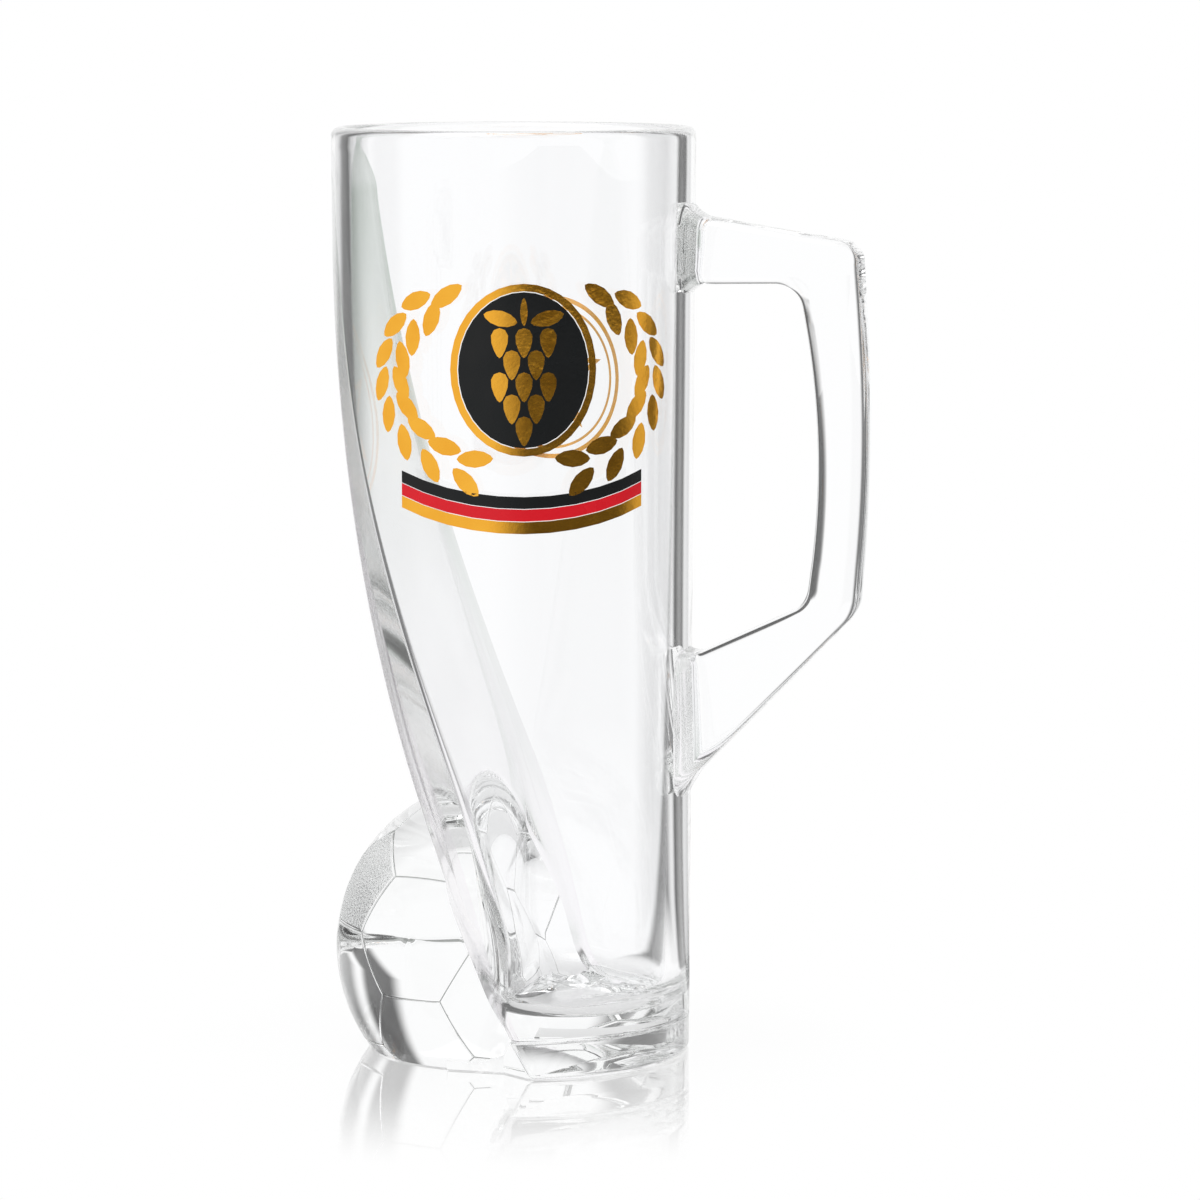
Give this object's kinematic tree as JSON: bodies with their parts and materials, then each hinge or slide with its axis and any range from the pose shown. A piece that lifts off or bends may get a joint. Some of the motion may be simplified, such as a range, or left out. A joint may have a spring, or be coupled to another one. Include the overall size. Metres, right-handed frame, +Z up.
{
  "type": "beer mug",
  "caption": "Tall clear glass beer mug with an angular handle, a long curved cut face on one side and a solid glass football set into the cut at the foot.",
  "frame": {"origin": "on the axis of the round bowl, in the plane of the table the mug stands on", "axes": "+Z up along the axis of the bowl, +X towards the handle, -X towards the football"},
  "size_m": [0.1195, 0.08, 0.204],
  "materials": {
    "glass": "clear pressed soda-lime glass, fire-polished, with a faint green tint in the thick parts",
    "print_gold": "fired-on bright gold",
    "print_black": "fired-on glossy black enamel",
    "print_red": "fired-on glossy red enamel"
  },
  "bodies": {
    "root": {"bowl": "glass", "foot": "glass", "football": "glass", "handle": "glass", "front_gold": "print_gold", "front_black": "print_black", "front_red": "print_red", "rear_gold": "print_gold"}
  },
  "joints": []
}
